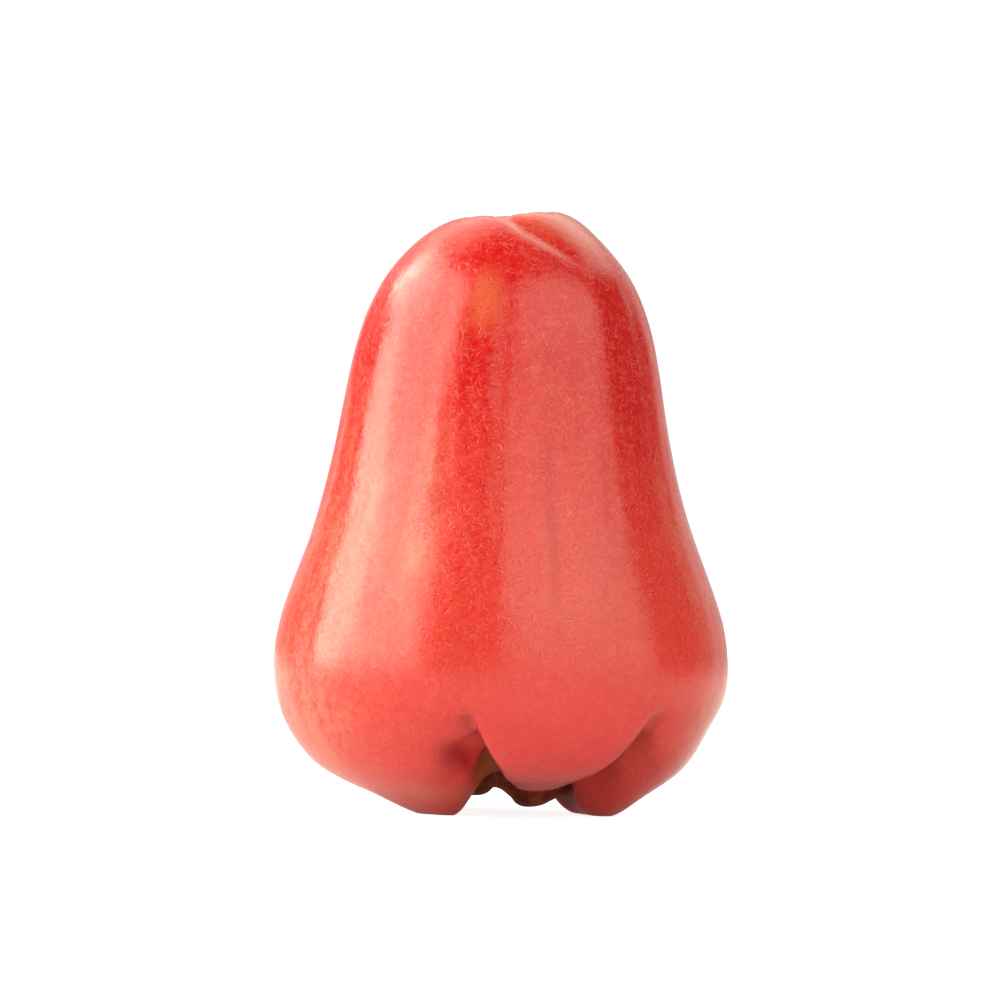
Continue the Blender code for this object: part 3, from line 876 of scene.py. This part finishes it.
def sepal_material(bristles):
    material, tree, shader = blank_material("olive_brown_sepal")
    coordinates = put(tree, "ShaderNodeTexCoord").outputs
    place, normal = coordinates["Object"], coordinates["Normal"]
    inputs = {"Vector": place, "Scale": 1.0 / BLOTCH_SIZE, "Detail": 4.0}
    blotches = put(tree, "ShaderNodeTexNoise", inputs).outputs[0]
    line, side, height = bristle_layers(tree, bristles, place, normal)
    colour = tinted(tree, SEPAL_DARK, SEPAL_LIGHT, between(tree, blotches, *BLOTCH_RANGE))
    # Painted highlight along the fine lines and painted shade beside them
    colour = tinted(tree, colour, SEPAL_LIGHT, line, SEPAL_LINE_STRENGTH)
    colour = tinted(tree, colour, SEPAL_DARK, side, SEPAL_LINE_STRENGTH)
    tree.links.new(colour, shader.inputs["Base Color"])
    bump = put(tree, "ShaderNodeBump", {"Height": height, "Strength": 0.6, "Distance": SEPAL_RELIEF})
    tree.links.new(bump.outputs[0], shader.inputs["Normal"])
    shader.inputs["Roughness"].default_value = 0.42
    shader.inputs["Specular IOR Level"].default_value = 0.2
    return material


# The studio

WHITE = (1.0, 1.0, 1.0, 1.0)
WARM_WHITE = (1.0, 0.93, 0.76)
SURROUNDING_LIGHT = 0.08

# The floor and the screen: size, colour and glow, and the glow that the floor adds where the camera sees it
FLOOR_RADIUS, FLOOR_SIDES = 1.6, 96
FLOOR_COLOUR = (0.70, 0.71, 0.73, 1.0)
FLOOR_GLOW, FLOOR_SEEN_GLOW = 0.10, 0.75
SCREEN_RADIUS, SCREEN_HEIGHT, SCREEN_COLUMNS = 1.6, 2.2, 32
SCREEN_AZIMUTHS = (135.0, 215.0)
SCREEN_COLOUR = (0.35, 0.35, 0.37, 1.0)
SCREEN_GLOW = 0.15

# Softboxes: name, azimuths and elevations as seen from the fruit, and radiance
SOFTBOX_DISTANCE = 1.35
SOFTBOXES = [
    ("left_strip", (-110.0, -84.0), (0.0, 52.0), 7.2),
    ("left_strip_upper", (-136.0, -112.0), (26.0, 46.0), 8.0),
    ("left_panel", (-84.0, -46.0), (0.0, 56.0), 4.6),
    ("right_panel", (3.0, 82.0), (0.0, 58.0), 1.8),
    ("right_panel_upper", (3.0, 81.0), (28.0, 58.0), 0.6),
]

# The soft light above and behind, which faces the fruit's foot
OVERHEAD_SIZE, OVERHEAD_RADIANCE = (2.8, 1.2), 1.6
OVERHEAD_PLACE = Vector((-0.1, 0.85, 1.2))

# The camera: the picture is as wide as this at the fruit's distance
CAMERA_DISTANCE = 1.0
SENSOR_WIDTH = 36.0
PICTURE_WIDTH = 149.3 * MM
LOOK_AT = Vector((-0.75, 0.0, 46.73)) * MM


def plain_material(name, colour, glow, seen_glow=0.0):
    """A matt colour that glows a little, and more where the camera itself looks at it."""
    material, tree, shader = blank_material(name)
    shader.inputs["Base Color"].default_value = colour
    shader.inputs["Roughness"].default_value = 0.9
    shader.inputs["Specular IOR Level"].default_value = 0.0
    shader.inputs["Emission Color"].default_value = WHITE
    seen = put(tree, "ShaderNodeLightPath").outputs["Is Camera Ray"]
    strength = maths(tree, "ADD", maths(tree, "MULTIPLY", seen, seen_glow), glow)
    tree.links.new(strength, shader.inputs["Emission Strength"])
    return material


def lamp_panel(name, width, height, radiance, place, forward):
    """A rectangle of even warm light that the camera doesn't see."""
    data = bpy.data.lights.new(name, "AREA")
    data.shape = "RECTANGLE"
    data.size, data.size_y = width, height
    data.energy = radiance * np.pi * width * height
    data.color = WARM_WHITE
    lamp = bpy.data.objects.new(name, data)
    lamp.visible_camera = False
    lamp.location = place
    lamp.rotation_euler = forward.to_track_quat("-Z", "Y").to_euler()
    bpy.context.scene.collection.objects.link(lamp)


def softbox(name, azimuths, elevations, radiance):
    """An upright softbox between two azimuths and two elevations, as seen from the fruit."""
    half, middle = np.radians(azimuths[1] - azimuths[0]) / 2.0, np.radians(sum(azimuths)) / 2.0
    low, high = SOFTBOX_DISTANCE * np.tan(np.radians(elevations))
    inward = Vector((-np.sin(middle), np.cos(middle), 0.0))
    place = -inward * SOFTBOX_DISTANCE + Vector((0.0, 0.0, (low + high) / 2.0))
    lamp_panel(name, 2.0 * SOFTBOX_DISTANCE * np.tan(half), high - low, radiance, place, inward)


def floor():
    """A round pale table top under the fruit."""
    around = np.linspace(0.0, 2.0 * np.pi, FLOOR_SIDES, endpoint=False)
    rim = np.stack([np.cos(around), np.sin(around), np.zeros(FLOOR_SIDES)], axis=1) * FLOOR_RADIUS
    mesh = bpy.data.meshes.new("floor")
    mesh.from_pydata(rim.tolist(), [], [tuple(range(FLOOR_SIDES))])
    mesh.materials.append(plain_material("pale_floor", FLOOR_COLOUR, FLOOR_GLOW, FLOOR_SEEN_GLOW))
    ground = bpy.data.objects.new("floor", mesh)
    bpy.context.scene.collection.objects.link(ground)


def backdrop():
    """A curved pale screen behind the fruit, which lights it and which the camera doesn't see."""
    azimuths = np.radians(np.linspace(*SCREEN_AZIMUTHS, SCREEN_COLUMNS + 1))
    foot = np.stack([np.sin(azimuths), -np.cos(azimuths), np.zeros_like(azimuths)], axis=1) * SCREEN_RADIUS
    head = foot + (0.0, 0.0, SCREEN_HEIGHT)
    above = SCREEN_COLUMNS + 1
    faces = [(i, i + 1, i + 1 + above, i + above) for i in range(SCREEN_COLUMNS)]
    mesh = bpy.data.meshes.new("backdrop")
    mesh.from_pydata(np.concatenate([foot, head]).tolist(), [], faces)
    mesh.materials.append(plain_material("white_screen", SCREEN_COLOUR, SCREEN_GLOW))
    screen = bpy.data.objects.new("backdrop", mesh)
    screen.visible_camera = False
    bpy.context.scene.collection.objects.link(screen)


def surroundings():
    """White where the camera looks past the stage, and nearly dark for all that the fruit mirrors."""
    world = bpy.data.worlds.new("studio")
    bpy.context.scene.world = world
    world.use_nodes = True
    tree = world.node_tree
    seen = put(tree, "ShaderNodeLightPath").outputs["Is Camera Ray"]
    back = tree.nodes["Background"]
    back.inputs["Color"].default_value = WHITE
    tree.links.new(maths(tree, "ADD", seen, SURROUNDING_LIGHT), back.inputs["Strength"])


def camera():
    """A level camera in front of the fruit, rolled by the angle at which the fruit stands."""
    data = bpy.data.cameras.new("camera")
    data.sensor_width = SENSOR_WIDTH
    data.lens = SENSOR_WIDTH * CAMERA_DISTANCE / PICTURE_WIDTH
    data.clip_start = 0.01
    eye = bpy.data.objects.new("camera", data)
    bpy.context.scene.collection.objects.link(eye)
    eye.location = LOOK_AT - Vector((0.0, CAMERA_DISTANCE, 0.0))
    eye.rotation_mode = "QUATERNION"
    level = Vector((0.0, 1.0, 0.0)).to_track_quat("-Z", "Y")
    eye.rotation_quaternion = level @ Quaternion((0.0, 0.0, 1.0), np.radians(REST_TILT))
    bpy.context.scene.camera = eye


# The pieces

def fitted_to_solid(skin, node):
    """The skin, moved and stretched a hair so that its box is that of its solid."""
    low, high = skin.min(axis=(0, 1)), skin.max(axis=(0, 1))
    solid_low, solid_high = (np.array(corner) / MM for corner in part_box(node))
    return solid_low + (skin - low) * (solid_high - solid_low) / (high - low)


def build_fruit(bristles, streaks, patch):
    fruit, station, folded = fruit_skin(FRUIT_COLUMNS, FRUIT_ROWS)
    ground = fruit[..., 2].min() + FOOT_PRESS
    fruit[..., 2] = np.maximum(fruit[..., 2], ground)
    fruit = fitted_to_solid(fruit, "fruit_body")
    mesh = closed_mesh("fruit_skin", fruit[::-1], {"station": station[::-1], "cleft": folded[::-1]})
    add_piece("fruit_skin", mesh, skin_material(streaks, bristles, patch), "fruit_body")


def build_calyx(bristles):
    calyx = fitted_to_solid(calyx_skin(CALYX_COLUMNS, CALYX_ROWS), "calyx")
    mesh = closed_mesh("calyx_sepals", calyx)
    add_piece("calyx_sepals", mesh, sepal_material(bristles), "calyx")


bristle_lines, streak_lines, soft_patch = bristle_group(), streak_group(), patch_group()
build_fruit(bristle_lines, streak_lines, soft_patch)
build_calyx(bristle_lines)
floor()
backdrop()
for box_name, sideways, upwards, brightness in SOFTBOXES:
    softbox(box_name, sideways, upwards, brightness)
lamp_panel("overhead", *OVERHEAD_SIZE, OVERHEAD_RADIANCE, OVERHEAD_PLACE, -OVERHEAD_PLACE)
surroundings()
camera()
bpy.context.scene.view_settings.view_transform = "Standard"
